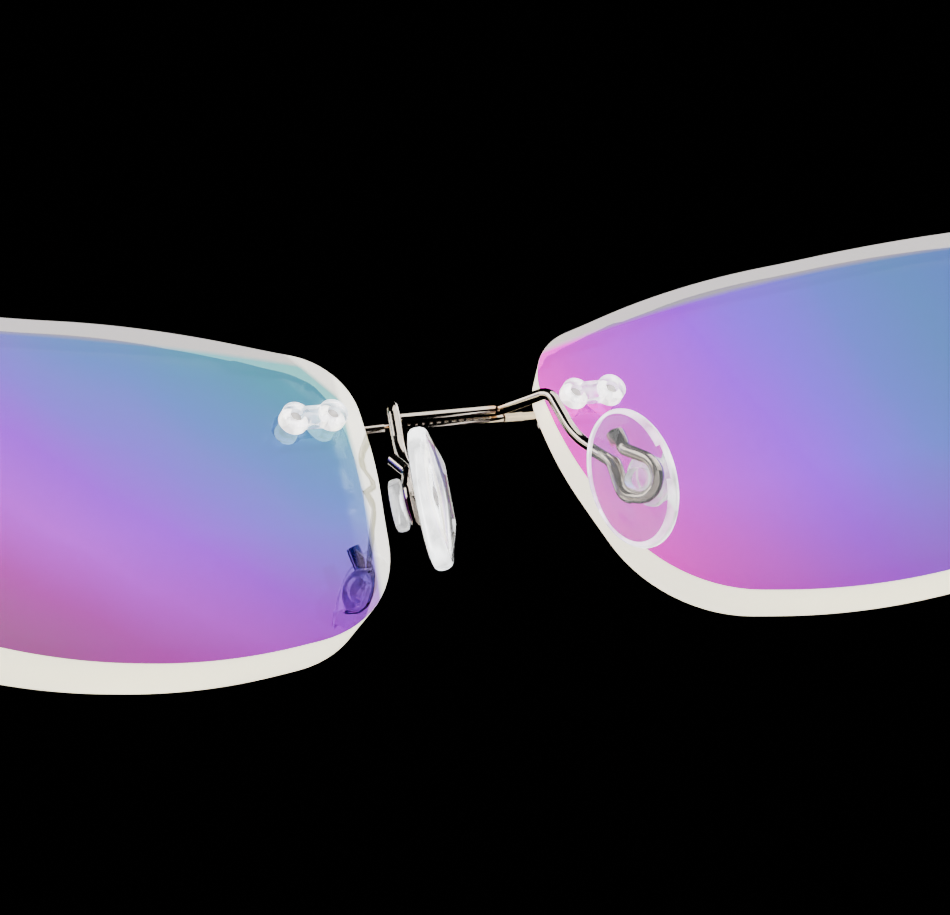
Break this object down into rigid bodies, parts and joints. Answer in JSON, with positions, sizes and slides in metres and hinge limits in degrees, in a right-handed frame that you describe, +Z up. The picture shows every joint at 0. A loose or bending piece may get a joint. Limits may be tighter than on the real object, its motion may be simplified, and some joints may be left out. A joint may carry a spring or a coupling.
{
  "type": "rimless eyeglasses",
  "caption": "Rimless eyeglasses: drilled lenses on clear plugs, wire bridge, wire-held clear nose pads and folding temples with dark tips.",
  "frame": {"origin": "on the ground, under the middle of the open glasses' bounding box", "axes": "+Z up, front of the lenses faces -Y, wearer at +Y, wearer's left is +X"},
  "size_m": [0.1284, 0.1615, 0.0303],
  "materials": {
    "coated_lens": "polished, with a violet to teal antireflection coating and a frosted ground edge",
    "polished_wire": "polished warm silver wire",
    "pin_steel": "plain turned pins and screws",
    "clear_plug": "clear moulded plug",
    "clear_silicone": "clear soft moulding, glossy",
    "tip_acetate": "dark smoke acetate, polished"
  },
  "bodies": {
    "front": {"lens_left": "coated_lens", "lens_right": "coated_lens", "bridge": "polished_wire", "nose_pad_arms": "polished_wire", "nasal_plug_left": "clear_plug", "nasal_plug_right": "clear_plug", "temporal_plug_left": "clear_plug", "temporal_plug_right": "clear_plug", "bridge_pins_left": "pin_steel", "bridge_pins_right": "pin_steel", "end_piece_left": "polished_wire", "end_piece_right": "polished_wire", "end_piece_pins_left": "pin_steel", "end_piece_pins_right": "pin_steel", "hinge_front_left": "polished_wire", "hinge_front_right": "polished_wire", "hinge_screw_left": "pin_steel", "hinge_screw_right": "pin_steel"},
    "temple_left_arm": {"hinge_temple_left": "polished_wire", "temple_left": "polished_wire", "temple_tip_left": "tip_acetate"},
    "temple_right_arm": {"hinge_temple_right": "polished_wire", "temple_right": "polished_wire", "temple_tip_right": "tip_acetate"},
    "pad_left": {"nose_pad_left": "clear_silicone"},
    "pad_right": {"nose_pad_right": "clear_silicone"}
  },
  "joints": [
    {"name": "temple_left_fold", "type": "hinge", "parent": "front", "child": "temple_left_arm", "pos_m": [0.06199, -0.0562, 0.02192], "axis": [0, 0, 1], "range_deg": [0, 92]},
    {"name": "temple_right_fold", "type": "hinge", "parent": "front", "child": "temple_right_arm", "pos_m": [-0.06199, -0.0562, 0.02192], "axis": [0, 0, -1], "range_deg": [0, 86]},
    {"name": "pad_left_swivel", "type": "hinge", "parent": "front", "child": "pad_left", "pos_m": [0.0079, -0.06937, 0.01003], "axis": [-0.8295, 0.5422, -0.1338], "range_deg": [-10, 10]},
    {"name": "pad_right_swivel", "type": "hinge", "parent": "front", "child": "pad_right", "pos_m": [-0.0079, -0.06937, 0.01003], "axis": [0.8295, 0.5422, -0.1338], "range_deg": [-10, 10]}
  ]
}
